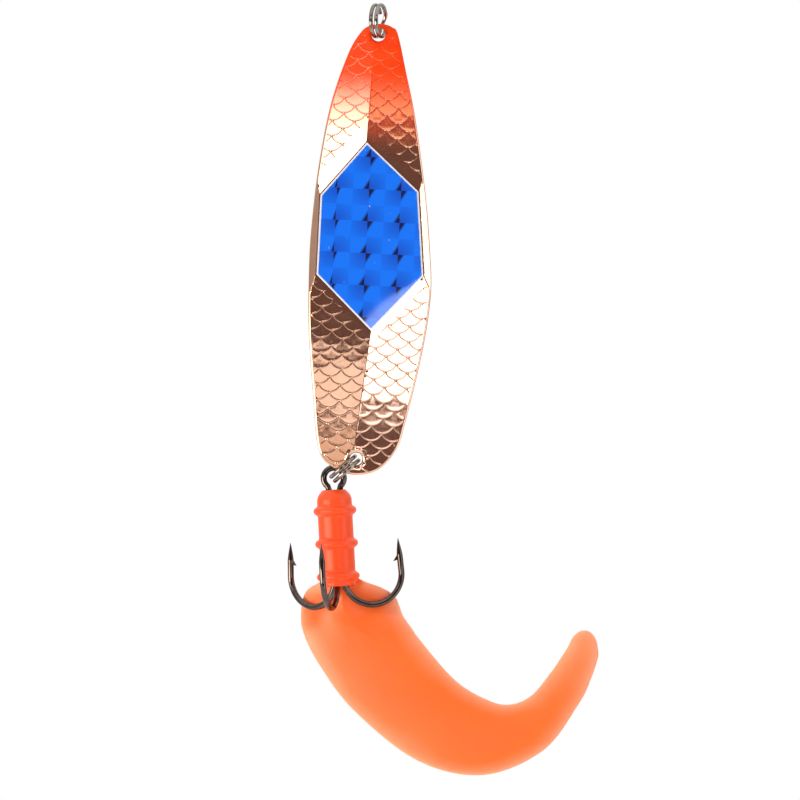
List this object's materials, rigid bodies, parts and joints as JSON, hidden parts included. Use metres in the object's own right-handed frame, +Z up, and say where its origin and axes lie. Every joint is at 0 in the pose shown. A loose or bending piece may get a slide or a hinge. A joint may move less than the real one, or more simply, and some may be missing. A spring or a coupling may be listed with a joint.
{
  "type": "spoon lure",
  "caption": "Hanging fishing spoon: faceted copper blade with a foil sticker between split rings, and a barbed treble hook in a soft ribbed sleeve with a curl tail.",
  "frame": {"origin": "the line tie: the inside top of the upper split ring, where the line bears", "axes": "+Z up from the tail to the line tie as the lure hangs, -Y out of the blade's front face, +X to the right seen from the front"},
  "size_m": [0.0623, 0.0232, 0.1544],
  "materials": {
    "copper_plate": "copper plated, stamped with scales, lacquered orange at the nose",
    "nickel_wire": "bright nickel on spring wire",
    "black_nickel_wire": "black nickel on hardened wire",
    "silver_braze": "as flowed",
    "pale_film": "pale adhesive film",
    "blue_prism_foil": "blue prismatic foil",
    "soft_orange": "translucent soft vinyl"
  },
  "bodies": {
    "top_ring": {"top_split_ring": "nickel_wire"},
    "blade": {"spoon_blade": "copper_plate", "sticker_backing": "pale_film", "sticker_foil": "blue_prism_foil"},
    "bottom_ring": {"bottom_split_ring": "nickel_wire"},
    "hook": {"double_hook": "black_nickel_wire", "single_hook": "black_nickel_wire", "hook_braze": "silver_braze", "tail_sleeve": "soft_orange"},
    "tail": {"tail_fin": "soft_orange"}
  },
  "joints": [
    {"name": "blade_swing", "type": "hinge", "parent": "top_ring", "child": "blade", "pos_m": [0, 0, -0.00562], "axis": [0, 1, 0], "range_deg": [-85, 85]},
    {"name": "bottom_ring_swing", "type": "hinge", "parent": "blade", "child": "bottom_ring", "pos_m": [-0.00449, 0.00039, -0.09051], "axis": [0, 1, 0], "range_deg": [-75, 15]},
    {"name": "hook_swing", "type": "hinge", "parent": "bottom_ring", "child": "hook", "pos_m": [-0.00673, 0.00165, -0.09245], "axis": [0.6561, 0, -0.7547], "range_deg": [-12, 90]},
    {"name": "tail_flex", "type": "hinge", "parent": "hook", "child": "tail", "pos_m": [-0.00231, 0.00592, -0.1288], "axis": [0.9296, -0.2179, 0.2972], "range_deg": [-55, 55], "stiffness_Nm_per_rad": 0.002}
  ]
}
